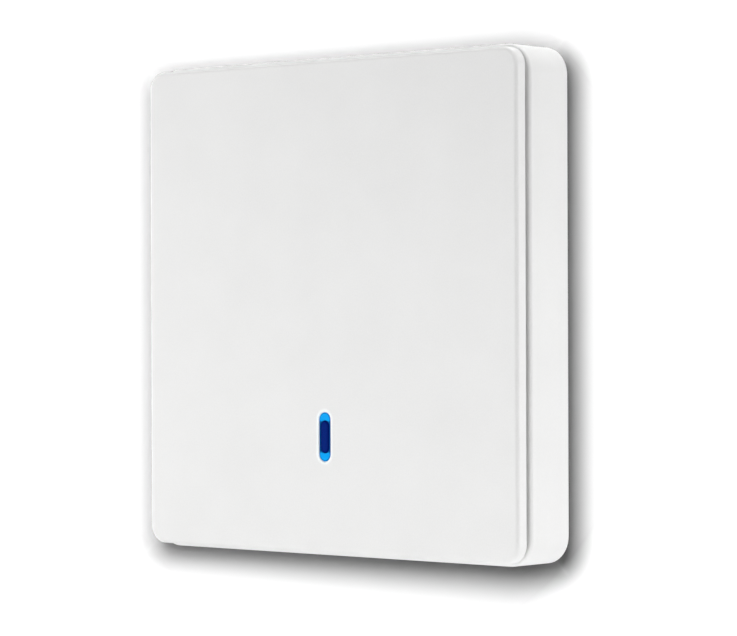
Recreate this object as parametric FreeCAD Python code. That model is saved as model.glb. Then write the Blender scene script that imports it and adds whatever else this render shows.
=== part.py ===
import FreeCAD, Part
import os

# A square single-key wireless wall switch, in millimetres. It is drawn lying on its back: x runs to the
# right, y up the wall and z out of the wall, and the origin is the centre of the face that meets the wall.
# Each piece is stood up against the wall when it is saved, so that z points forward.

Vector = FreeCAD.Vector
X_AXIS = Vector(1, 0, 0)
Y_AXIS = Vector(0, 1, 0)
Z_AXIS = Vector(0, 0, 1)
ORIGIN = Vector(0, 0, 0)
STAND_UP_TURN = 90.0

# Housing: a shallow tray
plate_size = 86.0
plate_corner = 4.8
housing_wall = 1.7
housing_floor = 1.6
rim_round = 0.5
back_chamfer = 0.15
tray_rib = 1.0
tray_rib_height = 1.0
tray_rib_spacing = 37.0
tray_rib_length = 62.0

# Screw slots in the tray's floor
slot_pitch = 60.3
slot_width = 4.2
slot_length = 8.0
slot_collar = 1.6
slot_collar_height = 1.2

# Shallow fields in the back for fixing tape
tape_field_width = 62.0
tape_field_height = 13.0
tape_field_depth = 0.4
tape_field_corner = 2.0
tape_field_spacing = 52.0

# Middle frame
frame_plate = 1.2
frame_drop = 0.5
frame_play = 0.15
ledge_width = 1.2
ledge_reach = 1.4
ledge_from_corner = 10.0
tongue_thick = 1.1
tongue_width = 8.0
tongue_spacing = 40.0
tongue_reach = 3.3
tongue_nose = 1.6
catch_reach = 0.65
catch_height = 0.9
catch_play = 0.1
barb_reach = 0.6
barb_play = 0.15

# Key cap
key_inset = 0.6
key_corner = 3.1
key_gap = 0.65
key_edge = 2.2
key_face = 1.4
key_skirt = 1.3
key_round = 0.65
rib_thick = 0.8
rib_height = 0.7
rib_count = 5
rib_from_leaf = 1.0

# Hinge near the key's top edge
hinge_from_side = 11.3
hinge_from_wall = 4.3
hinge_below_frame = 0.9
ear_thick = 1.6
ear_width = 3.6
ear_play = 0.2
ear_flex_room = 0.6
ear_window_play = 0.5
pin_radius = 0.9
pin_play = 0.05
pin_length = 1.6
pin_end_room = 0.3
bearing_length = 3.0
bearing_wall = 0.8

# Hooks that keep the key's lower edge from lifting
hook_pitch = 44.0
hook_from_edge = 1.85
hook_thick = 1.0
hook_width = 5.0
hook_barb = 1.4
hook_barb_height = 0.5
hook_nose = 0.8
hook_play = 0.05
hook_window_play = 0.3
hook_flex_room = 0.6

# Return leaves: flat springs staked to the frame, whose tips lift the key's lower corners
leaf_tip_from_wall = 3.9
leaf_from_bottom = 9.3
leaf_length = 10.0
leaf_foot_length = 2.8
leaf_pad_length = 1.4
leaf_width = 4.0
leaf_thick = 0.2
leaf_play = 0.02
stake_radius = 0.6
stake_height = 0.7
stake_play = 0.05

# Indicator in the key
indicator_above_key_edge = 20.0
indicator_width = 2.5
indicator_length = 8.4
indicator_play = 0.05
indicator_sink = 0.1
slot_mouth_chamfer = 0.15
collar_wall = 0.8
flange_reach = 0.9
flange_thick = 0.6
core_width = 2.1
core_length = 5.7
core_depth = 1.1
core_play = 0.02
core_edge = 0.3

# Circuit board
board_width = 56.0
board_height = 55.0
board_thick = 1.2
board_corner_cut = 1.0
board_above_hook = 0.9
board_from_frame = 0.9
screw_inset_x = 3.5
screw_inset_y = 4.0

# Screws that hold the board to the frame
screw_radius = 0.8
screw_hole_play = 0.3
screw_grip_play = 0.05
screw_head_radius = 1.9
screw_head_height = 1.1
screw_recess_width = 0.5
screw_recess_length = 2.0
screw_recess_depth = 0.5
screw_cover = 0.5
screw_tip_room = 0.2
boss_wall = 1.45
rest_width = 3.6

# Push switch under the key
switch_below_indicator = 8.6
switch_size = 6.0
switch_base_height = 1.6
switch_base_chamfer = 0.5
switch_well_floor = 0.3
switch_well_radius = 2.35
switch_cover_thick = 0.2
switch_cover_tab = 1.0
switch_cover_tab_width = 3.0
plunger_radius = 1.6
plunger_play = 0.15
plunger_flange_thick = 0.55
plunger_above_cover = 0.7
plunger_nub_radius = 0.6
press_gap = 0.03
press_post_radius = 2.0
dome_rise = 0.4
dome_crown_radius = 1.4
dome_thick = 0.1
terminal_width = 0.7
terminal_thick = 0.15
terminal_reach = 0.9
terminal_spacing = 4.5
switch_window_play = 0.8
switch_window_corner = 0.8

# Indicator light source
led_width = 2.8
led_length = 3.5
led_height = 0.75
led_well_radius = 1.1
led_well_depth = 0.25
light_window_radius = 2.0

# Coin cell and what holds it
cell_radius = 10.0
cell_thick = 3.2
cell_cap_inset = 1.2
cell_cap_step = 0.25
holder_below_aerial = 1.0
cell_play = 0.15
holder_wall = 1.45
holder_floor = 0.5
holder_corner = 5.5
holder_gap_width = 8.0
contact_thick = 0.25
contact_width = 3.5
contact_play = 0.1
bow_span = 9.0
bow_foot = 1.5
bow_middle = 2.5
bow_width = 3.0
bow_window_play = 0.6
cell_to_holder = 0.2
clip_to_floor = 0.45

# Parts soldered to the board's back
chip_length = 10.0
chip_width = 3.9
chip_height = 1.4
chip_standoff = 0.1
chip_lead_count = 7
chip_lead_pitch = 1.27
chip_lead_width = 0.4
chip_lead_thick = 0.2
chip_lead_reach = 1.05
chip_lead_foot = 0.6
chip_left_of_centre = 12.0
chip_above_edge = 11.5
can_radius = 4.2
can_height = 2.6
can_brim = 0.4
can_right_of_centre = 14.0
can_above_edge = 12.0
transistor_length = 2.9
transistor_width = 1.3
transistor_height = 1.0
transistor_right_of_centre = 14.0
transistor_above_edge = 21.5
passive_length = 1.6
passive_width = 0.8
capacitor_height = 0.8
resistor_height = 0.45
passive_count = 5
passive_pitch = 3.4
capacitor_above_edge = 5.0
capacitor_left_of_centre = 11.7
resistor_from_holder = 3.6

# Aerial: a stamped strip loop that stands on the board's back
aerial_from_screw_head = 3.6
aerial_arm = 3.0
aerial_height = 2.6
aerial_thick = 0.4
aerial_below_top = 1.6
aerial_foot = 1.6

# Heights out from the wall, worked out from the stack of pieces behind the key
clip_back_z = housing_floor + clip_to_floor
cell_back_z = clip_back_z + contact_thick
cell_front_z = cell_back_z + cell_thick
board_back_z = cell_front_z + cell_to_holder + holder_floor
board_front_z = board_back_z + board_thick
frame_back_z = board_front_z + board_from_frame
frame_front_z = frame_back_z + frame_plate
housing_depth = frame_front_z + frame_drop
key_back_z = housing_depth + key_gap
key_front_z = key_back_z + key_edge
key_inner_z = key_front_z - key_face
rib_low_z = key_inner_z - rib_height
hinge_z = frame_front_z - hinge_below_frame

# Places across the wall
cavity_half = plate_size / 2 - housing_wall
frame_half = cavity_half - frame_play
key_size = plate_size - 2 * key_inset
hinge_x = cavity_half - hinge_from_side
hinge_y = cavity_half - hinge_from_wall
hook_x = hook_pitch / 2
hook_out_y = -(frame_half - hook_from_edge)
hook_in_y = hook_out_y + hook_thick
leaf_tip_x = cavity_half - leaf_tip_from_wall
leaf_foot_x = leaf_tip_x - leaf_length
leaf_y = -(cavity_half - leaf_from_bottom)
stake_x = leaf_foot_x + leaf_foot_length / 2
rib_outer = leaf_foot_x - rib_from_leaf - rib_thick / 2
indicator_y = -(key_size / 2 - indicator_above_key_edge)
switch_y = indicator_y - switch_below_indicator
board_low_y = hook_in_y + hook_barb + board_above_hook
board_high_y = board_low_y + board_height
screw_x = board_width / 2 - screw_inset_x
screw_low_y = board_low_y + screw_inset_y
screw_high_y = board_high_y - screw_inset_y
aerial_half = screw_x - screw_head_radius - aerial_from_screw_head
aerial_out_y = board_high_y - aerial_below_top
aerial_in_y = aerial_out_y - aerial_arm
holder_half = cell_radius + cell_play + holder_wall
cell_y = aerial_in_y - holder_below_aerial - holder_half
resistor_x = -(holder_half + resistor_from_holder)
tongue_out_x = cavity_half - catch_reach - barb_play
barb_top_z = frame_back_z - tongue_reach
ledge_at = plate_size / 2 - ledge_from_corner

# Heights inside the push switch
switch_base_top_z = board_front_z + switch_base_height
switch_cover_top_z = switch_base_top_z + switch_cover_thick
plunger_top_z = switch_cover_top_z + plunger_above_cover
plunger_flange_top_z = switch_base_top_z - plunger_play
plunger_flange_low_z = plunger_flange_top_z - plunger_flange_thick
well_floor_z = board_front_z + switch_well_floor
dome_top_z = well_floor_z + dome_rise


def both_sides(value):
    return (-value, value)


def screw_places():
    """Two opposite corners of the board."""
    return [(screw_x, screw_low_y), (-screw_x, screw_high_y)]


def rest_places():
    """The board's other two corners, which lie on plain rests."""
    return [(-screw_x, screw_low_y), (screw_x, screw_high_y)]


def block(x_low, x_high, y_low, y_high, z_low, z_high):
    return Part.makeBox(x_high - x_low, y_high - y_low, z_high - z_low, Vector(x_low, y_low, z_low))


def centred_block(width, height, z_low, z_high, x=0.0, y=0.0):
    return block(x - width / 2, x + width / 2, y - height / 2, y + height / 2, z_low, z_high)


def post(radius, z_low, z_high, x=0.0, y=0.0):
    return Part.makeCylinder(radius, z_high - z_low, Vector(x, y, z_low), Z_AXIS)


def flat_edges(shape, z):
    """The edges that lie level at one height."""
    level = []
    for edge in shape.Edges:
        box = edge.BoundBox
        if abs(box.ZMin - z) < 1e-4 and abs(box.ZMax - z) < 1e-4:
            level.append(edge)
    return level


def upright_edges(shape):
    return [edge for edge in shape.Edges if edge.BoundBox.ZLength > 1e-4]


def rounded_slab(width, height, corner, z_low, z_high, x=0.0, y=0.0):
    """A flat block whose four upright corners are round."""
    slab = centred_block(width, height, z_low, z_high, x, y)
    return slab.makeFillet(corner, upright_edges(slab))


def capsule(width, length, z_low, z_high, x=0.0, y=0.0):
    """An upright slot shape: straight sides along y and half-round ends."""
    radius = width / 2
    half = length / 2 - radius
    low_left = Vector(x - radius, y - half, z_low)
    low_right = Vector(x + radius, y - half, z_low)
    high_right = Vector(x + radius, y + half, z_low)
    high_left = Vector(x - radius, y + half, z_low)
    edges = [
        Part.Arc(low_left, Vector(x, y - length / 2, z_low), low_right).toShape(),
        Part.LineSegment(low_right, high_right).toShape(),
        Part.Arc(high_right, Vector(x, y + length / 2, z_low), high_left).toShape(),
        Part.LineSegment(high_left, low_left).toShape(),
    ]
    return Part.Face(Part.Wire(edges)).extrude(Vector(0, 0, z_high - z_low))


def lying_capsule(width, length, z_low, z_high, x=0.0, y=0.0):
    slot = capsule(width, length, z_low, z_high)
    slot.rotate(ORIGIN, Z_AXIS, 90)
    slot.translate(Vector(x, y, 0))
    return slot


def prism_along_x(outline, x_low, x_high):
    """Extrudes an outline of (y, z) points along x."""
    points = [Vector(x_low, y, z) for y, z in outline]
    return Part.Face(Part.makePolygon(points + points[:1])).extrude(Vector(x_high - x_low, 0, 0))


def prism_along_y(outline, y_low, y_high):
    """Extrudes an outline of (x, z) points along y."""
    points = [Vector(x, y_low, z) for x, z in outline]
    return Part.Face(Part.makePolygon(points + points[:1])).extrude(Vector(0, y_high - y_low, 0))


def mirrored(shape):
    """The same form on the other side of the middle plane."""
    return shape.mirror(ORIGIN, X_AXIS)


def tray_shell():
    outside = rounded_slab(plate_size, plate_size, plate_corner, 0, housing_depth)
    outside = outside.makeFillet(rim_round, flat_edges(outside, housing_depth))
    outside = outside.makeChamfer(back_chamfer, flat_edges(outside, 0))
    cavity_size = 2 * cavity_half
    cavity_corner = plate_corner - housing_wall
    inside = rounded_slab(cavity_size, cavity_size, cavity_corner, housing_floor, housing_depth)
    return outside.cut(inside)


def frame_ledges():
    """Ribs up the four walls, on whose tops the middle frame lies."""
    ledges = []
    for side in both_sides(1.0):
        for place in both_sides(ledge_at):
            near = side * cavity_half
            far = side * (cavity_half - ledge_reach)
            low, high = sorted((near, far))
            edge_low = place - ledge_width / 2
            edge_high = place + ledge_width / 2
            ledges.append(block(low, high, edge_low, edge_high, housing_floor, frame_back_z))
            ledges.append(block(edge_low, edge_high, low, high, housing_floor, frame_back_z))
    return ledges


def frame_catches():
    """Sloped ribs on the side walls, under which the frame's tongues snap."""
    catches = []
    low_z = barb_top_z + catch_play
    outline = [
        (cavity_half, low_z),
        (cavity_half - catch_reach, low_z),
        (cavity_half - catch_reach, low_z + catch_height),
        (cavity_half, low_z + catch_height + catch_reach),
    ]
    for place in both_sides(tongue_spacing / 2):
        catch = prism_along_y(outline, place - tongue_width / 2, place + tongue_width / 2)
        catches.append(catch)
        catches.append(mirrored(catch))
    return catches


def rear_housing():
    tray = tray_shell()
    collar_top_z = housing_floor + slot_collar_height
    additions = frame_ledges() + frame_catches()
    for x in both_sides(slot_pitch / 2):
        width = slot_width + 2 * slot_collar
        length = slot_length + 2 * slot_collar
        additions.append(lying_capsule(width, length, housing_floor, collar_top_z, x))
    rib_top_z = housing_floor + tray_rib_height
    for x in both_sides(tray_rib_spacing / 2):
        additions.append(centred_block(tray_rib, tray_rib_length, housing_floor, rib_top_z, x))
    tray = tray.fuse(additions)
    cuts = []
    for x in both_sides(slot_pitch / 2):
        cuts.append(lying_capsule(slot_width, slot_length, 0, collar_top_z, x))
    for y in both_sides(tape_field_spacing / 2):
        field = (tape_field_width, tape_field_height, tape_field_corner)
        cuts.append(rounded_slab(*field, 0, tape_field_depth, 0, y))
    return tray.cut(cuts).removeSplitter()


def frame_tongue(place):
    """A snap tongue that hangs from the frame's right edge and ends in a barb."""
    barb_x = tongue_out_x + barb_reach
    low_z = barb_top_z - tongue_nose
    outline = [
        (tongue_out_x - tongue_thick, frame_back_z),
        (tongue_out_x - tongue_thick, low_z),
        (tongue_out_x, low_z),
        (barb_x, barb_top_z - tongue_nose / 2),
        (barb_x, barb_top_z),
        (tongue_out_x, barb_top_z),
        (tongue_out_x, frame_back_z),
    ]
    return prism_along_y(outline, place - tongue_width / 2, place + tongue_width / 2)


def hinge_bearing():
    """The block beside the right ear, with a blind bore for the stub pin."""
    half = pin_radius + pin_play + bearing_wall
    start = hinge_x + ear_thick / 2 + ear_play
    end = start + bearing_length
    return block(start, end, hinge_y - half, hinge_y + half, hinge_z - half, hinge_z + half)


def hinge_cuts():
    """The window that the right ear drops through, and the bore for its pin."""
    window_low = hinge_x - ear_thick / 2 - ear_flex_room
    window_high = hinge_x + ear_thick / 2 + ear_play
    half = ear_width / 2 + ear_window_play
    window = block(window_low, window_high, hinge_y - half, hinge_y + half, frame_back_z, frame_front_z)
    depth = pin_length - ear_play + pin_end_room
    start = Vector(window_high, hinge_y, hinge_z)
    bore = Part.makeCylinder(pin_radius + pin_play, depth, start, X_AXIS)
    return [window, bore]


def hook_window(x):
    y_low = hook_out_y - hook_window_play
    y_high = hook_in_y + hook_flex_room
    half = hook_width / 2 + hook_window_play
    return block(x - half, x + half, y_low, y_high, frame_back_z, frame_front_z)


def middle_frame():
    corner = plate_corner - housing_wall - frame_play
    frame = rounded_slab(2 * frame_half, 2 * frame_half, corner, frame_back_z, frame_front_z)
    additions = [hinge_bearing(), mirrored(hinge_bearing())]
    for place in both_sides(tongue_spacing / 2):
        additions.append(frame_tongue(place))
        additions.append(mirrored(frame_tongue(place)))
    for x in both_sides(stake_x):
        additions.append(post(stake_radius, frame_front_z, frame_front_z + stake_height, x, leaf_y))
    bore_radius = screw_radius + screw_grip_play
    for x, y in screw_places():
        additions.append(post(bore_radius + boss_wall, board_front_z, frame_back_z, x, y))
    for x, y in rest_places():
        additions.append(centred_block(rest_width, rest_width, board_front_z, frame_back_z, x, y))
    frame = frame.fuse(additions)
    cuts = []
    for cut in hinge_cuts():
        cuts.append(cut)
        cuts.append(mirrored(cut))
    for x in both_sides(hook_x):
        cuts.append(hook_window(x))
    for x, y in screw_places():
        cuts.append(post(bore_radius, board_front_z, frame_front_z - screw_cover, x, y))
    opening = switch_size + 2 * switch_window_play
    switch_window = (opening, opening, switch_window_corner)
    cuts.append(rounded_slab(*switch_window, frame_back_z, frame_front_z, 0, switch_y))
    cuts.append(post(light_window_radius, frame_back_z, frame_front_z, 0, indicator_y))
    return frame.cut(cuts).removeSplitter()


def key_shell():
    shell = rounded_slab(key_size, key_size, key_corner, key_back_z, key_front_z)
    shell = shell.makeFillet(key_round, flat_edges(shell, key_front_z))
    inner_size = key_size - 2 * key_skirt
    hollow = rounded_slab(inner_size, inner_size, key_corner - key_skirt, key_back_z, key_inner_z)
    return shell.cut(hollow)


def key_ribs():
    """A grid of shallow ribs that keeps the thin key face flat."""
    ribs = []
    reach = key_size / 2 - key_skirt
    for number in range(rib_count):
        offset = rib_outer * (2 * number / (rib_count - 1) - 1)
        ribs.append(centred_block(rib_thick, 2 * reach, rib_low_z, key_inner_z, offset, 0))
        ribs.append(centred_block(2 * reach, rib_thick, rib_low_z, key_inner_z, 0, offset))
    return ribs


def hinge_ear():
    """The right ear with its stub pin, which points outwards."""
    inner = hinge_x - ear_thick / 2
    outer = hinge_x + ear_thick / 2
    half = ear_width / 2
    strip = block(inner, outer, hinge_y - half, hinge_y + half, hinge_z, key_inner_z)
    end = Part.makeCylinder(half, ear_thick, Vector(inner, hinge_y, hinge_z), X_AXIS)
    pin = Part.makeCylinder(pin_radius, pin_length, Vector(outer, hinge_y, hinge_z), X_AXIS)
    return strip.fuse([end, pin])


def key_hook(x):
    barb_top = frame_back_z - hook_play
    tip_y = hook_in_y + hook_barb
    outline = [
        (hook_out_y, key_inner_z),
        (hook_out_y, barb_top - hook_barb_height - hook_nose),
        (hook_in_y, barb_top - hook_barb_height - hook_nose),
        (tip_y, barb_top - hook_barb_height),
        (tip_y, barb_top),
        (hook_in_y, barb_top),
        (hook_in_y, key_inner_z),
    ]
    return prism_along_x(outline, x - hook_width / 2, x + hook_width / 2)


def rocker_key():
    key = key_shell()
    additions = key_ribs() + [hinge_ear(), mirrored(hinge_ear())]
    for x in both_sides(hook_x):
        additions.append(key_hook(x))
    additions.append(post(press_post_radius, plunger_top_z + press_gap, key_inner_z, 0, switch_y))
    slot_across = indicator_width + 2 * indicator_play
    slot_along = indicator_length + 2 * indicator_play
    collar = (slot_across + 2 * collar_wall, slot_along + 2 * collar_wall)
    additions.append(capsule(*collar, rib_low_z, key_inner_z, 0, indicator_y))
    key = key.fuse(additions)
    key = key.cut(capsule(slot_across, slot_along, rib_low_z, key_front_z, 0, indicator_y))
    key = key.removeSplitter()
    mouth = [edge for edge in flat_edges(key, key_front_z) if edge.BoundBox.DiagonalLength < slot_along]
    mouth = [edge for edge in mouth if abs(edge.CenterOfMass.x) < slot_across]
    return key.makeChamfer(slot_mouth_chamfer, mouth)


def indicator_lens():
    front_z = key_front_z - indicator_sink
    stem = capsule(indicator_width, indicator_length, rib_low_z, front_z, 0, indicator_y)
    flange = (indicator_width + 2 * flange_reach, indicator_length + 2 * flange_reach)
    foot = capsule(*flange, rib_low_z - flange_thick, rib_low_z, 0, indicator_y)
    pocket = (core_width + 2 * core_play, core_length + 2 * core_play)
    seat = capsule(*pocket, front_z - core_depth, front_z, 0, indicator_y)
    return stem.fuse(foot).cut(seat).removeSplitter()


def indicator_core():
    seat_z = key_front_z - indicator_sink - core_depth
    core = capsule(core_width, core_length, seat_z, key_front_z, 0, indicator_y)
    return core.makeChamfer(core_edge, flat_edges(core, key_front_z))


def return_leaf():
    """The right leaf: its foot lies on the frame around a stake and its pad touches the key's inside."""
    foot_top_z = frame_front_z + leaf_thick
    pad_top_z = key_inner_z - leaf_play
    bend_x = leaf_foot_x + leaf_foot_length
    pad_x = leaf_tip_x - leaf_pad_length
    outline = [
        (leaf_foot_x, frame_front_z),
        (bend_x, frame_front_z),
        (pad_x, pad_top_z - leaf_thick),
        (leaf_tip_x, pad_top_z - leaf_thick),
        (leaf_tip_x, pad_top_z),
        (pad_x, pad_top_z),
        (bend_x, foot_top_z),
        (leaf_foot_x, foot_top_z),
    ]
    leaf = prism_along_y(outline, leaf_y - leaf_width / 2, leaf_y + leaf_width / 2)
    return leaf.cut(post(stake_radius + stake_play, frame_front_z, foot_top_z, stake_x, leaf_y))


def key_return_leaves():
    return Part.makeCompound([return_leaf(), mirrored(return_leaf())])


def circuit_board():
    middle_y = (board_low_y + board_high_y) / 2
    board = centred_block(board_width, board_height, board_back_z, board_front_z, 0, middle_y)
    board = board.makeChamfer(board_corner_cut, upright_edges(board))
    holes = []
    for x, y in screw_places():
        holes.append(post(screw_radius + screw_hole_play, board_back_z, board_front_z, x, y))
    return board.cut(holes)


def board_screw(x, y):
    """A flat-headed screw whose head is behind the board, with a cross recess."""
    head_back_z = board_back_z - screw_head_height
    head = post(screw_head_radius, head_back_z, board_back_z, x, y)
    shank = post(screw_radius, board_back_z, frame_front_z - screw_cover - screw_tip_room, x, y)
    recess_top_z = head_back_z + screw_recess_depth
    across = centred_block(screw_recess_length, screw_recess_width, head_back_z, recess_top_z, x, y)
    along = centred_block(screw_recess_width, screw_recess_length, head_back_z, recess_top_z, x, y)
    return head.fuse(shank).cut([across, along])


def board_screws():
    return Part.makeCompound([board_screw(x, y) for x, y in screw_places()])


def tact_switch_base():
    base = centred_block(switch_size, switch_size, board_front_z, switch_base_top_z, 0, switch_y)
    base = base.makeChamfer(switch_base_chamfer, upright_edges(base))
    return base.cut(post(switch_well_radius, well_floor_z, switch_base_top_z, 0, switch_y))


def tact_switch_cover():
    """A thin metal plate with a round hole, and two tabs folded down the base's sides."""
    half = switch_size / 2
    plate_half = half - switch_base_chamfer
    plate = block(
        -half, half, switch_y - plate_half, switch_y + plate_half, switch_base_top_z, switch_cover_top_z
    )
    tabs = []
    for side in both_sides(1.0):
        near = side * half
        far = side * (half + switch_cover_thick)
        low, high = sorted((near, far))
        tab_low_z = switch_base_top_z - switch_cover_tab
        y_low = switch_y - switch_cover_tab_width / 2
        y_high = switch_y + switch_cover_tab_width / 2
        tabs.append(block(low, high, y_low, y_high, tab_low_z, switch_cover_top_z))
    hole = post(plunger_radius + plunger_play, switch_base_top_z, switch_cover_top_z, 0, switch_y)
    return plate.fuse(tabs).cut(hole).removeSplitter()


def tact_switch_plunger():
    """A stepped button: a nub on the dome, a flange under the cover and a stem through its hole."""
    stem = post(plunger_radius, plunger_flange_top_z, plunger_top_z, 0, switch_y)
    flange_radius = switch_well_radius - plunger_play
    flange = post(flange_radius, plunger_flange_low_z, plunger_flange_top_z, 0, switch_y)
    nub = post(plunger_nub_radius, dome_top_z, plunger_flange_low_z, 0, switch_y)
    return stem.fuse([flange, nub])


def tact_switch_dome():
    """A thin pressed dome that snaps through: a sloped rim and a flat crown."""
    rim = switch_well_radius - plunger_play
    foot = Vector(0, switch_y, well_floor_z)
    outside = Part.makeCone(rim, dome_crown_radius, dome_rise, foot, Z_AXIS)
    inside_crown = dome_crown_radius - dome_thick
    inside = Part.makeCone(rim - dome_thick, inside_crown, dome_rise - dome_thick, foot, Z_AXIS)
    return outside.cut(inside)


def tact_switch_terminals():
    """Four flat feet that step out of the base's corners onto the board."""
    terminals = []
    for side in both_sides(1.0):
        for place in both_sides(terminal_spacing / 2):
            near = side * switch_size / 2
            far = side * (switch_size / 2 + terminal_reach)
            low, high = sorted((near, far))
            y_low = switch_y + place - terminal_width / 2
            y_high = switch_y + place + terminal_width / 2
            terminals.append(block(low, high, y_low, y_high, board_front_z, board_front_z + terminal_thick))
    return Part.makeCompound(terminals)


def indicator_led():
    top_z = board_front_z + led_height
    body = centred_block(led_width, led_length, board_front_z, top_z, 0, indicator_y)
    return body.cut(post(led_well_radius, top_z - led_well_depth, top_z, 0, indicator_y))


def coin_cell():
    """A sealed cell: its flat can faces the wall and its smaller cap faces the board."""
    step_z = cell_front_z - cell_cap_step
    can = post(cell_radius, cell_back_z, step_z, 0, cell_y)
    return can.fuse(post(cell_radius - cell_cap_inset, step_z, cell_front_z, 0, cell_y))


def battery_holder():
    bore = cell_radius + cell_play
    ring = centred_block(2 * holder_half, 2 * holder_half, cell_back_z, board_back_z, 0, cell_y)
    ring = ring.makeChamfer(holder_corner, upright_edges(ring))
    well = post(bore, cell_back_z, board_back_z - holder_floor, 0, cell_y)
    bow_room = (bow_span + 2 * bow_window_play, bow_width + 2 * bow_window_play)
    window = centred_block(*bow_room, board_back_z - holder_floor, board_back_z, 0, cell_y)
    gap_half = holder_gap_width / 2
    gap_end_y = cell_y - holder_half
    gap = block(-gap_half, gap_half, gap_end_y, cell_y, cell_back_z, board_back_z - holder_floor)
    return ring.cut([well, window, gap])


def battery_contact_positive():
    """A strap across the back of the cell, with a leg down each side to the board."""
    inner = holder_half + contact_play
    outer = inner + contact_thick
    outline = [
        (-outer, board_back_z),
        (-outer, clip_back_z),
        (outer, clip_back_z),
        (outer, board_back_z),
        (inner, board_back_z),
        (inner, cell_back_z),
        (-inner, cell_back_z),
        (-inner, board_back_z),
    ]
    return prism_along_y(outline, cell_y - contact_width / 2, cell_y + contact_width / 2)


def battery_contact_negative():
    """A bowed strip: its feet are on the board and its middle presses on the cell's cap."""
    half = bow_span / 2
    knee = half - bow_foot
    crown = bow_middle / 2
    foot_z = board_back_z - contact_thick
    outline = [
        (-half, board_back_z),
        (-half, foot_z),
        (-knee, foot_z),
        (-crown, cell_front_z),
        (crown, cell_front_z),
        (knee, foot_z),
        (half, foot_z),
        (half, board_back_z),
        (knee, board_back_z),
        (crown, cell_front_z + contact_thick),
        (-crown, cell_front_z + contact_thick),
        (-knee, board_back_z),
    ]
    return prism_along_y(outline, cell_y - bow_width / 2, cell_y + bow_width / 2)


def chip_place():
    return -chip_left_of_centre, board_low_y + chip_above_edge


def encoder_chip():
    x, y = chip_place()
    top_z = board_back_z - chip_standoff
    return centred_block(chip_length, chip_width, top_z - chip_height, top_z, x, y)


def encoder_chip_leads():
    """Two rows of leads that leave the chip at half height and bend down to the board."""
    x, y = chip_place()
    side_y = chip_width / 2
    leave_z = board_back_z - chip_standoff - chip_height / 2
    bend_y = side_y + chip_lead_reach - chip_lead_foot
    foot_y = side_y + chip_lead_reach
    outline = [
        (side_y, leave_z),
        (side_y, leave_z - chip_lead_thick),
        (bend_y, leave_z - chip_lead_thick),
        (bend_y, board_back_z - chip_lead_thick),
        (foot_y, board_back_z - chip_lead_thick),
        (foot_y, board_back_z),
        (bend_y - chip_lead_thick, board_back_z),
        (bend_y - chip_lead_thick, leave_z),
    ]
    leads = []
    for number in range(chip_lead_count):
        middle = (number - (chip_lead_count - 1) / 2) * chip_lead_pitch
        lead = prism_along_x(outline, middle - chip_lead_width / 2, middle + chip_lead_width / 2)
        leads.append(lead)
        leads.append(lead.mirror(ORIGIN, Y_AXIS))
    row = Part.makeCompound(leads)
    row.translate(Vector(x, y, 0))
    return row


def resonator_can():
    """A round drawn can with a brim against the board."""
    y = board_low_y + can_above_edge
    low_z = board_back_z - can_brim - can_height
    can = post(can_radius, low_z, board_back_z - can_brim, can_right_of_centre, y)
    brim = post(can_radius + can_brim, board_back_z - can_brim, board_back_z, can_right_of_centre, y)
    return can.fuse(brim)


def rf_transistor():
    x = transistor_right_of_centre
    y = board_low_y + transistor_above_edge
    low_z = board_back_z - transistor_height
    return centred_block(transistor_length, transistor_width, low_z, board_back_z, x, y)


def passive_row(height):
    """Equal surface-mounted parts side by side on the board's back, about the origin."""
    row = []
    for number in range(passive_count):
        x = (number - (passive_count - 1) / 2) * passive_pitch
        row.append(centred_block(passive_length, passive_width, board_back_z - height, board_back_z, x))
    return Part.makeCompound(row)


def chip_capacitors():
    row = passive_row(capacitor_height)
    row.translate(Vector(-capacitor_left_of_centre, board_low_y + capacitor_above_edge, 0))
    return row


def chip_resistors():
    """A column beside the battery holder."""
    column = passive_row(resistor_height)
    column.rotate(ORIGIN, Z_AXIS, 90)
    column.translate(Vector(resistor_x, cell_y, 0))
    return column


def aerial_loop():
    """A strip on edge with two turned-in arms, each ending in a foot on the board."""
    low_z = board_back_z - aerial_height
    high_z = board_back_z - aerial_thick
    strip_y = aerial_out_y - aerial_thick
    pieces = [block(-aerial_half, aerial_half, strip_y, aerial_out_y, low_z, high_z)]
    for side in both_sides(1.0):
        low, high = sorted((side * aerial_half, side * (aerial_half - aerial_thick)))
        pieces.append(block(low, high, aerial_in_y, aerial_out_y, low_z, high_z))
        low, high = sorted((side * aerial_half, side * (aerial_half - aerial_foot)))
        pieces.append(block(low, high, aerial_in_y, aerial_out_y, high_z, board_back_z))
    return pieces[0].fuse(pieces[1:]).removeSplitter()


def save(name, shape):
    """Stands one piece up against the wall and writes it as its own file."""
    solids = [solid.copy() for solid in shape.Solids]
    for solid in solids:
        solid.rotate(ORIGIN, X_AXIS, STAND_UP_TURN)
    piece = solids[0] if len(solids) == 1 else Part.makeCompound(solids)
    piece.exportStep(os.path.join("parts", name + ".step"))
    print(f"{name}: {len(solids)} solid(s), {piece.Volume:.2f} mm3, valid {piece.isValid()}")


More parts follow.
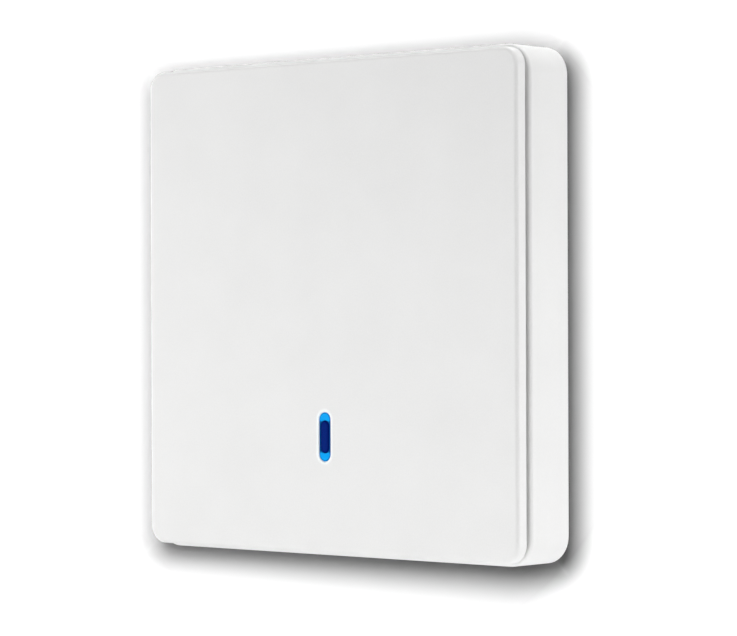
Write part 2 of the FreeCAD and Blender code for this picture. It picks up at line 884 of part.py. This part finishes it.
def main():
    os.makedirs("parts", exist_ok=True)
    save("rear_housing", rear_housing())
    save("middle_frame", middle_frame())
    save("rocker_key", rocker_key())
    save("indicator_lens", indicator_lens())
    save("indicator_core", indicator_core())
    save("key_return_leaves", key_return_leaves())
    save("circuit_board", circuit_board())
    save("board_screws", board_screws())
    save("tact_switch_base", tact_switch_base())
    save("tact_switch_cover", tact_switch_cover())
    save("tact_switch_plunger", tact_switch_plunger())
    save("tact_switch_dome", tact_switch_dome())
    save("tact_switch_terminals", tact_switch_terminals())
    save("indicator_led", indicator_led())
    save("coin_cell", coin_cell())
    save("battery_holder", battery_holder())
    save("battery_contact_positive", battery_contact_positive())
    save("battery_contact_negative", battery_contact_negative())
    save("encoder_chip", encoder_chip())
    save("encoder_chip_leads", encoder_chip_leads())
    save("resonator_can", resonator_can())
    save("rf_transistor", rf_transistor())
    save("chip_capacitors", chip_capacitors())
    save("chip_resistors", chip_resistors())
    save("aerial_loop", aerial_loop())


main()
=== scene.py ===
import math

import bpy
from mathutils import Matrix, Vector


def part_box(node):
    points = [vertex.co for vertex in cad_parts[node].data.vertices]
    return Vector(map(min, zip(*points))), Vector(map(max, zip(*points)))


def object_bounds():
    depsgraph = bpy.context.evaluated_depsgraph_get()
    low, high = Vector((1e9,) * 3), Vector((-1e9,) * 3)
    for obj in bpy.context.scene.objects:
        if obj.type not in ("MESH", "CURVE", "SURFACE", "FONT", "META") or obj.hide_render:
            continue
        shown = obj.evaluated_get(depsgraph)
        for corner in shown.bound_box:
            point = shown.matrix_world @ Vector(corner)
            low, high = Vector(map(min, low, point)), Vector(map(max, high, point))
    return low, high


# A white single-key wireless wall switch on a plain white wall, seen level from its right.
# Metres, with x to the right, z up the wall and the key facing -y.
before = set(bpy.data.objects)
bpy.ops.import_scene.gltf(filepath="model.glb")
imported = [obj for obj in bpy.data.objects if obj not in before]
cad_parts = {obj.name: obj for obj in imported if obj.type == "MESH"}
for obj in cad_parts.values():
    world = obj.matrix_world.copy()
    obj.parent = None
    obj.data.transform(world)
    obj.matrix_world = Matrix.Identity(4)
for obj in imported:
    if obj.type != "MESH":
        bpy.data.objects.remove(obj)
cad_low, cad_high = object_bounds()
scene = bpy.context.scene

MM = 0.001
WHITE = (1.0, 1.0, 1.0, 1.0)

# Camera: where the photograph was taken from
CAMERA_YAW = math.radians(41.226)
CAMERA_ROLL = math.radians(-0.2)
CAMERA_DISTANCE = 537.5 * MM
CAMERA_SIDEWAYS = -0.82 * MM
CAMERA_RISE = -1.99 * MM
CAMERA_LENS = 150.0
CAMERA_SENSOR = 36.0
CAMERA_NEAR = 0.01
CAMERA_FAR = 20.0

# Room: how far its floor and wall reach, the floor, and the light from all around
STAGE_HALF_SIZE = 3.0
FLOOR_DROP = 0.3
FLOOR_COLOUR = (0.9, 0.9, 0.9, 1.0)
FLOOR_GLOW = 0.7
WORLD_LIGHT = 0.3
WHITE_BACKGROUND = 1.0

# Wall: how far behind the switch it stands, and how far back its line passes the switch's right
# side, as a share of the depth; then its whiteness at the middle and at most
WALL_BEHIND = 42.7 * MM
WALL_SLANT = 0.81
WALL_WHITENESS = 0.04
WALL_WHITEST = 0.12

# Wall's own light: everywhere, beyond the shadow, and, as painted light that lightens the switch's
# shadow, on the square that the switch hides
WALL_GLOW = 0.02
OPEN_WALL_GLOW = 0.6
OPEN_WALL_FROM = 66.0 * MM
OPEN_WALL_TO = 92.0 * MM
HIDDEN_SHADOW_PAINTED_LIGHT = 0.15
HIDDEN_WALL_FULL = 43.5 * MM
HIDDEN_WALL_END = 48.5 * MM

# Lamp that draws the switch's soft shadow on the wall, placed from the camera's line of sight
SHADOW_LAMP_DISTANCE = 394.0 * MM
SHADOW_LAMP_LEFT = 13.0 * MM
SHADOW_LAMP_RISE = 17.3 * MM
SHADOW_LAMP_DIAMETER = 60.6 * MM
WALL_LEVEL = 0.995

# Lamps: name, azimuth and elevation in degrees, distance and size in metres, and level. Azimuth 0
# is straight in front of the switch and 90 is on its right. A level of 1 makes a white surface that
# faces the lamp at the switch just white.
LAMPS = (
    ("left_softbox", -75.0, 0.0, 0.45, 0.20, 0.45),
    ("front_left_softbox", -30.0, -5.0, 0.60, 0.30, 0.245),
    ("high_front_softbox", 0.0, 50.0, 0.45, 0.20, 0.05),
    ("low_front_fill", 20.0, -40.0, 0.30, 0.16, 0.155),
    ("low_right_fill", 75.0, -35.0, 0.30, 0.16, 0.25),
    ("right_rim", 130.0, -10.0, 0.40, 0.25, 0.26),
    ("high_right_rim", 95.0, 55.0, 0.45, 0.25, 0.26),
    ("top_strip", 180.0, 80.0, 0.50, 0.30, 0.46),
    ("back_softbox", -165.0, 10.0, 0.90, 0.25, 0.14),
)

# Indicator: half widths of what shows of its lens and its core, where the core's ends are, how far
# a painted glow ring reaches into the key around the lens and how strongly, and the look of its
# plastic, with its painted glow
LENS_HALF_WIDTH = 1.25 * MM
CORE_HALF_WIDTH = 1.05 * MM
CORE_END_FROM = 2.5 * MM
CORE_END_TO = 2.9 * MM
GLOW_RING_FULL = 1.5 * MM
GLOW_RING_END = 2.1 * MM
GLOW_RING_PAINTED_LIGHT = 0.15
GUIDE_PAINTED_GLOW = 0.3
GUIDE_SHINE = 0.012
GUIDE_CLOUD_SIZE = 0.9 * MM
GUIDE_CLOUDING = 0.06
GUIDE_SMEAR_SIZE = 0.5 * MM

# Plastics, metals and ceramics: how much of a noise's range their changes span, and the sizes,
# depths and ranges of their marks
NOISE_LOW = 0.3
NOISE_HIGH = 0.7
CLOUD_SIZE = 14.0 * MM
SPECK_SIZE = 0.28 * MM
SHEEN_SIZE = 3.0 * MM
SHEEN_CHANGE = 0.03
FLOW_SIZE = 9.0 * MM
FLOW_DEPTH = 0.004 * MM
PLASTIC_IOR = 1.5
METAL_LINE_SIZE = 0.5 * MM
METAL_LINE_DEPTH = 0.004 * MM
METAL_BLOTCH_SIZE = 2.5 * MM
METAL_SHEEN_CHANGE = 0.07
FILLER_SIZE = 0.12 * MM
FILLER_DEPTH = 0.01 * MM
FILLER_SHEEN_CHANGE = 0.06
CERAMIC_SPECK_SIZE = 0.15 * MM
CERAMIC_SPECK_DEPTH = 0.006 * MM
BOARD_TRACK_SCALE = 180.0
BOARD_TRACK_DEPTH = 0.03 * MM
BOARD_WEAVE_SCALE = 900.0
BOARD_WEAVE_SHARE = 0.15

# Colours, as shares of linear red, green and blue
WHITE_PLASTIC = (0.86, 0.86, 0.855)
FRAME_PLASTIC = (0.70, 0.695, 0.68)
# Painted glow ring colour around the indicator lens
PAINTED_GLOW_BLUE = (0.72, 0.96, 1.0)
AZURE = (0.004, 0.33, 0.80)
# Painted shade: the deeper colour along the lens's edge
AZURE_EDGE_PAINTED_SHADE = (0.003, 0.16, 0.45)
AZURE_BESIDE_CORE = (0.003, 0.07, 0.26)
NAVY = (0.0004, 0.0135, 0.150)
# Painted shade: the deeper colour along the core's edges
NAVY_EDGE_PAINTED_SHADE = (0.0003, 0.0055, 0.095)


def camera_directions():
    """Level right, forward and up as the photograph's camera stands."""
    right = Vector((math.cos(CAMERA_YAW), math.sin(CAMERA_YAW), 0.0))
    forward = Vector((-math.sin(CAMERA_YAW), math.cos(CAMERA_YAW), 0.0))
    return right, forward, Vector((0.0, 0.0, 1.0))


def add_camera():
    data = bpy.data.cameras.new("photo_camera")
    data.sensor_width = CAMERA_SENSOR
    data.lens = CAMERA_LENS
    data.clip_start = CAMERA_NEAR
    data.clip_end = CAMERA_FAR
    right, forward, up = camera_directions()
    place = right * CAMERA_SIDEWAYS + up * CAMERA_RISE - forward * CAMERA_DISTANCE
    tilted_right = right * math.cos(CAMERA_ROLL) + up * math.sin(CAMERA_ROLL)
    tilted_up = up * math.cos(CAMERA_ROLL) - right * math.sin(CAMERA_ROLL)
    turn = Matrix((tilted_right, tilted_up, -forward)).transposed()
    camera = bpy.data.objects.new("photo_camera", data)
    camera.matrix_world = Matrix.Translation(place) @ turn.to_4x4()
    scene.collection.objects.link(camera)
    scene.camera = camera


def lamp_power(level, distance):
    """Power of a lamp that makes a white surface facing it at a distance just white at level 1."""
    return level * (math.pi * distance) ** 2


def area_lamp(name, shape, size, power, place, outward):
    """An area lamp at a place, aimed against the outward direction."""
    data = bpy.data.lights.new(name, "AREA")
    data.shape = shape
    data.size = size
    data.energy = power
    lamp = bpy.data.objects.new(name, data)
    lamp.location = place
    lamp.rotation_mode = "QUATERNION"
    lamp.rotation_quaternion = outward.to_track_quat("Z", "Y")
    scene.collection.objects.link(lamp)
    return lamp


def add_softbox(name, azimuth, elevation, distance, size, level):
    """A square lamp aimed at the middle of the switch."""
    around = math.radians(azimuth)
    above = math.radians(elevation)
    aside = math.cos(above)
    outward = Vector((math.sin(around) * aside, -math.cos(around) * aside, math.sin(above)))
    place = (cad_low + cad_high) / 2 + outward * distance
    area_lamp(name, "SQUARE", size, lamp_power(level, distance), place, outward)


def add_node(tree, kind, **values):
    """A shader node with some of its inputs and settings filled in by name."""
    made = tree.nodes.new(kind)
    for name, value in values.items():
        label = name.replace("_", " ").title()
        if label in made.inputs:
            made.inputs[label].default_value = value
        else:
            setattr(made, name, value)
    return made


def feed(tree, shader, **sources):
    """Links sources to a shader's inputs by name."""
    for name, source in sources.items():
        tree.links.new(source, shader.inputs[name.replace("_", " ")])


def new_material(name):
    material = bpy.data.materials.new(name)
    material.use_nodes = True
    tree = material.node_tree
    return material, tree, tree.nodes["Principled BSDF"]


def object_point(tree, stretch=(1.0, 1.0, 1.0)):
    """The surface point in the object's own frame, in metres, stretched along the axes."""
    place = add_node(tree, "ShaderNodeTexCoord")
    mapping = add_node(tree, "ShaderNodeMapping", Scale=stretch)
    tree.links.new(place.outputs["Object"], mapping.inputs["Vector"])
    return mapping.outputs["Vector"]


def noise(tree, point, size, detail=2.0, roughness=0.5):
    """Soft noise from 0 to 1 whose features are about size metres across."""
    made = add_node(
        tree, "ShaderNodeTexNoise", Scale=1.0 / size, Detail=detail, Roughness=roughness)
    tree.links.new(point, made.inputs["Vector"])
    return made.outputs["Fac"]


def blend(tree, factor, first, second, start=NOISE_LOW, end=NOISE_HIGH):
    """A colour or a grey that goes from first to second as the factor goes from start to end."""
    made = tree.nodes.new("ShaderNodeValToRGB")
    points = made.color_ramp.elements
    for point, position, colour in zip(points, (start, end), (first, second)):
        channels = colour if isinstance(colour, tuple) else (colour, colour, colour)
        point.position = position
        point.color = (*channels, 1.0)
    tree.links.new(factor, made.inputs["Fac"])
    return made.outputs["Color"]


def bump(tree, height, depth, strength=1.0, under=None):
    """A normal from a height between 0 and 1 that stands for depth metres."""
    made = add_node(tree, "ShaderNodeBump", Strength=strength, Distance=depth)
    tree.links.new(height, made.inputs["Height"])
    if under is not None:
        tree.links.new(under, made.inputs["Normal"])
    return made.outputs["Normal"]


def arithmetic(tree, operation, first, second=None):
    made = tree.nodes.new("ShaderNodeMath")
    made.operation = operation
    for number, value in enumerate((first, second)):
        if value is None:
            continue
        if isinstance(value, (int, float)):
            made.inputs[number].default_value = value
        else:
            tree.links.new(value, made.inputs[number])
    return made.outputs["Value"]


def average(tree, first, second):
    halves = [arithmetic(tree, "MULTIPLY", value, 0.5) for value in (first, second)]
    return arithmetic(tree, "ADD", *halves)


def vector_math(tree, operation, vector, fixed=None):
    """A vector's difference from a fixed one, its product with it, or its own length."""
    made = add_node(tree, "ShaderNodeVectorMath", operation=operation)
    tree.links.new(vector, made.inputs[0])
    if fixed is not None:
        made.inputs[1].default_value = fixed
    return made.outputs["Vector" if operation == "SUBTRACT" else "Value"]


def graded(tree, value, start, end, first=0.0, last=1.0, smooth=False):
    """A number that goes from first to last as the value goes from start to end."""
    made = add_node(
        tree, "ShaderNodeMapRange", From_Min=start, From_Max=end, To_Min=first, To_Max=last)
    if smooth:
        made.interpolation_type = "SMOOTHSTEP"
    tree.links.new(value, made.inputs["Value"])
    return made.outputs["Result"]


def join_shaders(tree, kind, *sources):
    """An Add Shader or a Mix Shader with its inputs linked in order."""
    made = tree.nodes.new(kind)
    for source, socket in zip(sources, made.inputs):
        tree.links.new(source, socket)
    return made.outputs["Shader"]


def tinted(colour, factor):
    return tuple(channel * factor for channel in colour)


def moulded_plastic(name, colour, shine, grain_size, grain_depth, mottle):
    """Injection-moulded plastic: fine spark-eroded grain, faint flow mottling and uneven sheen."""
    material, tree, shader = new_material(name)
    point = object_point(tree)
    cloud = noise(tree, point, CLOUD_SIZE, detail=3.0)
    speck = noise(tree, point, SPECK_SIZE, roughness=0.6)
    darker, paler = tinted(colour, 1.0 - mottle), tinted(colour, 1.0 + mottle)
    mottled = blend(tree, average(tree, cloud, speck), darker, paler)
    sheen = noise(tree, point, SHEEN_SIZE)
    roughness = blend(tree, sheen, shine - SHEEN_CHANGE, shine + SHEEN_CHANGE)
    flow = bump(tree, noise(tree, point, FLOW_SIZE, detail=1.0), FLOW_DEPTH, strength=0.5)
    grain = noise(tree, point, grain_size, detail=3.0, roughness=0.65)
    uneven = bump(tree, grain, grain_depth, strength=0.6, under=flow)
    feed(tree, shader, Base_Color=mottled, Roughness=roughness, Normal=uneven)
    shader.inputs["IOR"].default_value = PLASTIC_IOR
    return material


def capsule_place(tree, name):
    """A point's distance from an upright capsule-shaped node's middle line, and along it."""
    low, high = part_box(name)
    half_width = (high.x - low.x) / 2
    straight = (high.z - low.z) / 2 - half_width
    middle = (low + high) / 2
    place = add_node(tree, "ShaderNodeTexCoord")
    parts = tree.nodes.new("ShaderNodeSeparateXYZ")
    tree.links.new(place.outputs["Object"], parts.inputs["Vector"])
    across = arithmetic(tree, "SUBTRACT", parts.outputs["X"], middle.x)
    rise = arithmetic(tree, "SUBTRACT", parts.outputs["Z"], middle.z)
    along = arithmetic(tree, "ABSOLUTE", rise)
    beyond = arithmetic(tree, "MAXIMUM", arithmetic(tree, "SUBTRACT", along, straight), 0.0)
    squares = [arithmetic(tree, "POWER", value, 2.0) for value in (across, beyond)]
    return arithmetic(tree, "SQRT", arithmetic(tree, "ADD", *squares)), along


def light_guide(name, node, half_width, middle, edge_shade, edge_shade_from, beside=None):
    """Clear coloured plastic with a painted glow, brighter inside, and painted shade that deepens
    it along its edge.

    beside gives the colour of the thin walls on both sides of what is set into it.
    """
    material, tree, shader = new_material(name)
    across, along = capsule_place(tree, node)
    point = object_point(tree)
    reach = arithmetic(tree, "DIVIDE", across, half_width)
    clouding = arithmetic(tree, "MULTIPLY", noise(tree, point, GUIDE_CLOUD_SIZE), GUIDE_CLOUDING)
    # Painted shade: the colour deepens from the middle to the edge
    colour = blend(tree, arithmetic(tree, "ADD", reach, clouding), middle, edge_shade, edge_shade_from, 1.0)
    if beside is not None:
        mixed = add_node(tree, "ShaderNodeMix", data_type="RGBA")
        past_end = graded(tree, along, CORE_END_FROM, CORE_END_TO, smooth=True)
        tree.links.new(past_end, mixed.inputs["Factor"])
        colour_inputs = [socket for socket in mixed.inputs if socket.type == "RGBA"]
        colour_inputs[0].default_value = (*beside, 1.0)
        tree.links.new(colour, colour_inputs[1])
        colour = next(socket for socket in mixed.outputs if socket.type == "RGBA")
    roughness = blend(tree, noise(tree, point, GUIDE_SMEAR_SIZE), 0.22, 0.30)
    # Painted glow: the lens and core give off their own colour as light
    feed(tree, shader, Base_Color=colour, Emission_Color=colour, Roughness=roughness)
    shader.inputs["Emission Strength"].default_value = GUIDE_PAINTED_GLOW
    shader.inputs["Specular IOR Level"].default_value = GUIDE_SHINE
    return material


def paint_glow_ring(material, node, colour):
    """A painted glow ring: pale blue emission on the pale plastic close around a light guide."""
    tree = material.node_tree
    shader = tree.nodes["Principled BSDF"]
    across, _ = capsule_place(tree, node)
    # Painted glow ring: emission that fades out away from the lens
    strength = graded(tree, across, GLOW_RING_FULL, GLOW_RING_END, GLOW_RING_PAINTED_LIGHT, 0.0, smooth=True)
    feed(tree, shader, Emission_Strength=strength)
    shader.inputs["Emission Color"].default_value = (*colour, 1.0)
    return material


def brushed_metal(name, colour, roughness, stretch):
    """Rolled or drawn metal with fine lines along one axis and faint blotches."""
    material, tree, shader = new_material(name)
    lines = noise(tree, object_point(tree, stretch), METAL_LINE_SIZE, detail=4.0, roughness=0.7)
    blotch = noise(tree, object_point(tree), METAL_BLOTCH_SIZE, detail=3.0)
    shade = blend(tree, average(tree, lines, blotch), tinted(colour, 0.88), tinted(colour, 1.08))
    sheen = blend(tree, lines, roughness - METAL_SHEEN_CHANGE, roughness + METAL_SHEEN_CHANGE)
    ridges = bump(tree, lines, METAL_LINE_DEPTH, strength=0.4)
    feed(tree, shader, Base_Color=shade, Roughness=sheen, Normal=ridges)
    shader.inputs["Metallic"].default_value = 1.0
    return material


def dark_plastic(name, colour, roughness):
    """Filled black or coloured moulding: speckled, with a coarse matt grain."""
    material, tree, shader = new_material(name)
    speck = noise(tree, object_point(tree), FILLER_SIZE, detail=3.0, roughness=0.7)
    shade = blend(tree, speck, tinted(colour, 0.75), tinted(colour, 1.35), 0.35, 0.75)
    sheen = blend(tree, speck, roughness - FILLER_SHEEN_CHANGE, roughness + FILLER_SHEEN_CHANGE)
    grain = bump(tree, speck, FILLER_DEPTH, strength=0.5)
    feed(tree, shader, Base_Color=shade, Roughness=sheen, Normal=grain)
    return material


def circuit_board_material(name):
    """Green solder mask over copper tracks that step across the board, with woven glass below."""
    material, tree, shader = new_material(name)
    point = object_point(tree)
    tracks = add_node(
        tree, "ShaderNodeTexBrick", Scale=BOARD_TRACK_SCALE, Mortar_Size=0.09, Mortar_Smooth=0.3)
    quarter_turn = math.radians(90)
    turned = add_node(tree, "ShaderNodeMapping", Rotation=(quarter_turn, 0.0, quarter_turn))
    tree.links.new(point, turned.inputs["Vector"])
    tree.links.new(turned.outputs["Vector"], tracks.inputs["Vector"])
    weave = add_node(
        tree, "ShaderNodeTexWave", Scale=BOARD_WEAVE_SCALE, Distortion=1.5, Detail=2.0)
    tree.links.new(point, weave.inputs["Vector"])
    threads = arithmetic(tree, "MULTIPLY", weave.outputs["Fac"], BOARD_WEAVE_SHARE)
    mask = arithmetic(tree, "ADD", tracks.outputs["Fac"], threads)
    green = blend(tree, mask, (0.012, 0.12, 0.045), (0.04, 0.26, 0.10), 0.1, 0.9)
    sheen = blend(tree, weave.outputs["Fac"], 0.24, 0.34, 0.0, 1.0)
    steps = bump(tree, mask, BOARD_TRACK_DEPTH, strength=0.6)
    feed(tree, shader, Base_Color=green, Roughness=sheen, Normal=steps)
    return material


def ceramic_chips(name, colour):
    """Small fired ceramic parts, finely speckled and slightly glossy."""
    material, tree, shader = new_material(name)
    speck = noise(tree, object_point(tree), CERAMIC_SPECK_SIZE, detail=3.0)
    shade = blend(tree, speck, tinted(colour, 0.85), tinted(colour, 1.12))
    sheen = blend(tree, speck, 0.3, 0.42)
    grain = bump(tree, speck, CERAMIC_SPECK_DEPTH, strength=0.4)
    feed(tree, shader, Base_Color=shade, Roughness=sheen, Normal=grain)
    return material


def stage_tree(name):
    material = bpy.data.materials.new(name)
    material.use_nodes = True
    tree = material.node_tree
    tree.nodes.clear()
    return material, tree, tree.nodes.new("ShaderNodeOutputMaterial")


def floor_white(name):
    """Matt floor that the camera sees as plain white from above and not at all from below."""
    material, tree, output = stage_tree(name)
    rays = tree.nodes.new("ShaderNodeLightPath")
    side = tree.nodes.new("ShaderNodeNewGeometry")
    clear = tree.nodes.new("ShaderNodeBsdfTransparent").outputs["BSDF"]
    matt = add_node(tree, "ShaderNodeBsdfDiffuse", Color=FLOOR_COLOUR).outputs["BSDF"]
    glow = add_node(tree, "ShaderNodeEmission", Strength=FLOOR_GLOW).outputs["Emission"]
    seen = join_shaders(tree, "ShaderNodeAddShader", matt, glow)
    white = join_shaders(tree, "ShaderNodeMixShader", rays.outputs["Is Camera Ray"], matt, seen)
    surface = join_shaders(
        tree, "ShaderNodeMixShader", side.outputs["Backfacing"], white, clear)
    tree.links.new(surface, output.inputs["Surface"])
    return material


def even_whiteness(tree, point, lamp_place, forward):
    """Whiteness with which the wall looks evenly lit by its own lamp.

    The lamp's light on the wall falls off with the fourth power of the distance over the depth in
    front of the lamp, so the whiteness rises with the same measure.
    """
    middle_depth = -lamp_place.dot(forward)
    from_lamp = vector_math(tree, "SUBTRACT", point, lamp_place)
    distance = arithmetic(tree, "DIVIDE", vector_math(tree, "LENGTH", from_lamp), middle_depth)
    depth = arithmetic(
        tree, "DIVIDE", vector_math(tree, "DOT_PRODUCT", from_lamp, forward), middle_depth)
    spread = arithmetic(tree, "DIVIDE", arithmetic(tree, "POWER", distance, 4.0), depth)
    whiteness = arithmetic(tree, "MULTIPLY", spread, WALL_WHITENESS)
    return arithmetic(tree, "MINIMUM", whiteness, WALL_WHITEST)


def wall_glow(tree, point, along):
    """The wall's own light: little near the shadow, more far from it, and painted light that
    lightens the shadow behind the switch.
    """
    away = vector_math(tree, "LENGTH", point)
    open_glow = graded(tree, away, OPEN_WALL_FROM, OPEN_WALL_TO, WALL_GLOW, OPEN_WALL_GLOW)
    aside = arithmetic(tree, "ABSOLUTE", vector_math(tree, "DOT_PRODUCT", point, along))
    parts = tree.nodes.new("ShaderNodeSeparateXYZ")
    tree.links.new(point, parts.inputs["Vector"])
    above = arithmetic(tree, "ABSOLUTE", parts.outputs["Z"])
    out = arithmetic(tree, "MAXIMUM", aside, above)
    # Painted light that lightens the switch's shadow on the square the switch hides
    shadow_painted_light = graded(
        tree, out, HIDDEN_WALL_FULL, HIDDEN_WALL_END, HIDDEN_SHADOW_PAINTED_LIGHT, 0.0, smooth=True)
    return arithmetic(tree, "ADD", open_glow, shadow_painted_light)


def wall_white(name, lamp_place, forward, along):
    """Wall that only the camera sees, and only from its front.

    lamp_place is where its lamp is as seen from its middle, forward is where that lamp aims, and
    along is the wall's level direction.
    """
    material, tree, output = stage_tree(name)
    point = tree.nodes.new("ShaderNodeTexCoord").outputs["Object"]
    matt = tree.nodes.new("ShaderNodeBsdfDiffuse")
    tree.links.new(even_whiteness(tree, point, lamp_place, forward), matt.inputs["Color"])
    glow = tree.nodes.new("ShaderNodeEmission")
    tree.links.new(wall_glow(tree, point, along), glow.inputs["Strength"])
    white = join_shaders(
        tree, "ShaderNodeAddShader", matt.outputs["BSDF"], glow.outputs["Emission"])
    rays = tree.nodes.new("ShaderNodeLightPath")
    side = tree.nodes.new("ShaderNodeNewGeometry")
    front = arithmetic(
        tree, "SUBTRACT", rays.outputs["Is Camera Ray"], side.outputs["Backfacing"])
    clear = tree.nodes.new("ShaderNodeBsdfTransparent").outputs["BSDF"]
    surface = join_shaders(
        tree, "ShaderNodeMixShader", arithmetic(tree, "MAXIMUM", front, 0.0), clear, white)
    tree.links.new(surface, output.inputs["Surface"])
    return material


def add_sheet(name, corners, middle, material):
    mesh = bpy.data.meshes.new(name)
    mesh.from_pydata(corners, [], [(0, 1, 2, 3)])
    mesh.materials.append(material)
    sheet = bpy.data.objects.new(name, mesh)
    sheet.location = middle
    scene.collection.objects.link(sheet)
    return sheet


def add_floor():
    half = STAGE_HALF_SIZE
    corners = [(-half, -half, 0.0), (half, -half, 0.0), (half, half, 0.0), (-half, half, 0.0)]
    middle = Vector((0.0, 0.0, cad_low.z - FLOOR_DROP))
    add_sheet("floor", corners, middle, floor_white("floor_white"))


def add_wall():
    """The wall and the disc lamp that lights it alone, so that the switch's shadow falls on it.

    The wall runs nearly parallel to the line from the key's left edge to the housing's right back
    edge, and the lamp is close to the photograph's line of sight.
    """
    right, forward, up = camera_directions()
    slanted_back = cad_low.y + (cad_high.y - cad_low.y) * WALL_SLANT
    left_edge = Vector((cad_low.x, cad_low.y, 0.0))
    right_edge = Vector((cad_high.x, slanted_back, 0.0))
    along = (right_edge - left_edge).normalized()
    middle = (left_edge + right_edge) / 2 + forward * WALL_BEHIND
    reach = along * STAGE_HALF_SIZE
    low = Vector((0.0, 0.0, cad_low.z - FLOOR_DROP))
    high = Vector((0.0, 0.0, STAGE_HALF_SIZE))
    corners = [low - reach, low + reach, high + reach, high - reach]
    sideways = right * (CAMERA_SIDEWAYS - SHADOW_LAMP_LEFT)
    place = sideways + up * (CAMERA_RISE + SHADOW_LAMP_RISE) - forward * SHADOW_LAMP_DISTANCE
    material = wall_white("wall_white", place - middle, forward, along)
    wall = add_sheet("back_wall", corners, middle, material)
    facing = abs(wall.data.polygons[0].normal.dot(forward))
    power = lamp_power(WALL_LEVEL / (WALL_WHITENESS * facing), (middle - place).dot(forward))
    lamp = area_lamp("shadow_lamp", "DISK", SHADOW_LAMP_DIAMETER, power, place, -forward)
    lamp.visible_camera = False
    lit = bpy.data.collections.new("lit_by_shadow_lamp")
    lit.objects.link(wall)
    lamp.light_linking.receiver_collection = lit


def add_world():
    """Even white light, and plain white wherever the camera or a reflection sees it."""
    world = bpy.data.worlds.new("white_room")
    scene.world = world
    world.use_nodes = True
    tree = world.node_tree
    tree.nodes.clear()
    output = tree.nodes.new("ShaderNodeOutputWorld")
    light, seen = (
        add_node(tree, "ShaderNodeBackground", Color=WHITE, Strength=strength)
        for strength in (WORLD_LIGHT, WHITE_BACKGROUND))
    rays = tree.nodes.new("ShaderNodeLightPath").outputs
    shiny = arithmetic(tree, "MAXIMUM", rays["Is Glossy Ray"], rays["Is Transmission Ray"])
    plain = arithmetic(tree, "MAXIMUM", rays["Is Camera Ray"], shiny)
    surface = join_shaders(
        tree, "ShaderNodeMixShader", plain, light.outputs["Background"], seen.outputs["Background"])
    tree.links.new(surface, output.inputs["Surface"])


def dress(material, *names):
    """Gives CAD nodes their finished material."""
    for name in names:
        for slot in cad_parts[name].material_slots:
            slot.material = material


def dress_mouldings():
    housing = moulded_plastic(
        "housing_plastic", WHITE_PLASTIC, shine=0.42, grain_size=0.35 * MM,
        grain_depth=0.006 * MM, mottle=0.025)
    key = moulded_plastic(
        "key_plastic", WHITE_PLASTIC, shine=0.40, grain_size=0.22 * MM,
        grain_depth=0.005 * MM, mottle=0.03)
    middle_frame = moulded_plastic(
        "frame_plastic", FRAME_PLASTIC, shine=0.5, grain_size=0.4 * MM,
        grain_depth=0.008 * MM, mottle=0.015)
    dress(housing, "rear_housing")
    # The key gets a painted glow ring around the indicator lens
    dress(paint_glow_ring(key, "indicator_lens", PAINTED_GLOW_BLUE), "rocker_key")
    dress(middle_frame, "middle_frame")


def dress_indicator():
    lens = light_guide(
        "azure_guide", "indicator_lens", LENS_HALF_WIDTH, AZURE, AZURE_EDGE_PAINTED_SHADE, edge_shade_from=0.78,
        beside=AZURE_BESIDE_CORE)
    core = light_guide(
        "navy_guide", "indicator_core", CORE_HALF_WIDTH, NAVY, NAVY_EDGE_PAINTED_SHADE, edge_shade_from=0.45)
    dress(lens, "indicator_lens")
    dress(core, "indicator_core")


def dress_metals():
    """Springs, sheet, cell, screws and aerial, brushed along the axis with the small stretch."""
    spring = brushed_metal("spring_strip", (0.62, 0.62, 0.60), 0.28, (0.05, 1.0, 1.0))
    tinned = brushed_metal("tinned_sheet", (0.70, 0.70, 0.67), 0.32, (1.0, 1.0, 0.1))
    cell = brushed_metal("cell_can", (0.66, 0.66, 0.65), 0.26, (0.08, 1.0, 1.0))
    zinc = brushed_metal("zinc_screw", (0.52, 0.53, 0.54), 0.34, (1.0, 0.1, 1.0))
    copper = brushed_metal("copper_strip", (0.72, 0.42, 0.22), 0.30, (0.06, 1.0, 1.0))
    dress(spring, "key_return_leaves", "tact_switch_dome")
    dress(tinned, "tact_switch_cover", "tact_switch_terminals", "encoder_chip_leads")
    dress(tinned, "resonator_can", "battery_contact_positive", "battery_contact_negative")
    dress(cell, "coin_cell")
    dress(zinc, "board_screws")
    dress(copper, "aerial_loop")


def dress_electronics():
    black = dark_plastic("black_moulding", (0.03, 0.03, 0.032), 0.5)
    dress(black, "tact_switch_base", "battery_holder", "encoder_chip", "rf_transistor")
    dress(dark_plastic("button_moulding", (0.55, 0.52, 0.47), 0.45), "tact_switch_plunger")
    dress(dark_plastic("white_ceramic", (0.80, 0.79, 0.70), 0.3), "indicator_led")
    dress(circuit_board_material("solder_mask"), "circuit_board")
    dress(ceramic_chips("tan_ceramic", (0.45, 0.32, 0.20)), "chip_capacitors")
    dress(ceramic_chips("black_ceramic", (0.04, 0.04, 0.045)), "chip_resistors")


scene.view_settings.view_transform = "Standard"
add_camera()
add_world()
add_floor()
add_wall()
for facts in LAMPS:
    add_softbox(*facts)
dress_mouldings()
dress_indicator()
dress_metals()
dress_electronics()
